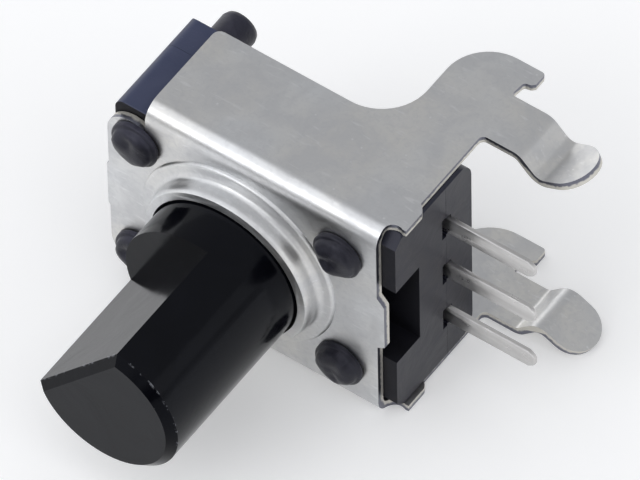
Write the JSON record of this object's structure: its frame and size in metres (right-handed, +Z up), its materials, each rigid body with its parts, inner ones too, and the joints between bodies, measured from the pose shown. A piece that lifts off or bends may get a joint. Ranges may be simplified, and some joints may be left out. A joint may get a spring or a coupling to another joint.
{
  "type": "rotary encoder",
  "caption": "Small horizontal rotary encoder with a plastic D-shaft, a bent sheet bracket with snap-in legs and a row of flat terminals.",
  "frame": {"origin": "Middle of the underside of the box round the whole part, lying on its lower side plate.", "axes": "+X is the way the terminals and snap legs leave, towards the circuit board; -Y is out along the shaft; +Z is up, from one side plate to the other."},
  "size_m": [0.0159, 0.0172, 0.0101],
  "materials": {
    "tin_plate": "bright tin-plated sheet steel, slightly mottled, rolled edges",
    "housing_plastic": "dark blue-grey glass-filled moulding, satin",
    "base_plastic": "dark grey moulding, satin",
    "pin_plastic": "dark grey plastic, ends spread by heat",
    "shaft_plastic": "black moulded plastic, smooth and glossy",
    "contact_metal": "stamped contact brass, bare",
    "spring_steel": "spring steel strip",
    "washer_plastic": "natural acetal",
    "terminal_tin": "bright tin plating with drawn lines",
    "wiper_bronze": "phosphor bronze strip"
  },
  "bodies": {
    "body": {"bracket": "tin_plate", "housing": "housing_plastic", "base": "base_plastic", "stake_pin_upper_left": "pin_plastic", "stake_pin_upper_right": "pin_plastic", "stake_pin_lower_left": "pin_plastic", "stake_pin_lower_right": "pin_plastic", "detent_spring": "spring_steel", "thrust_washer": "washer_plastic", "terminal_a": "terminal_tin", "terminal_c": "terminal_tin", "terminal_b": "terminal_tin", "wiper_a": "wiper_bronze", "wiper_c": "wiper_bronze", "wiper_b": "wiper_bronze"},
    "shaft": {"shaft": "shaft_plastic", "code_disc": "contact_metal"}
  },
  "joints": [
    {"name": "shaft_spin", "type": "hinge", "parent": "body", "child": "shaft", "pos_m": [-0.00233, -0.0005, 0.00505], "axis": [0, -1, 0], "continuous": true}
  ]
}
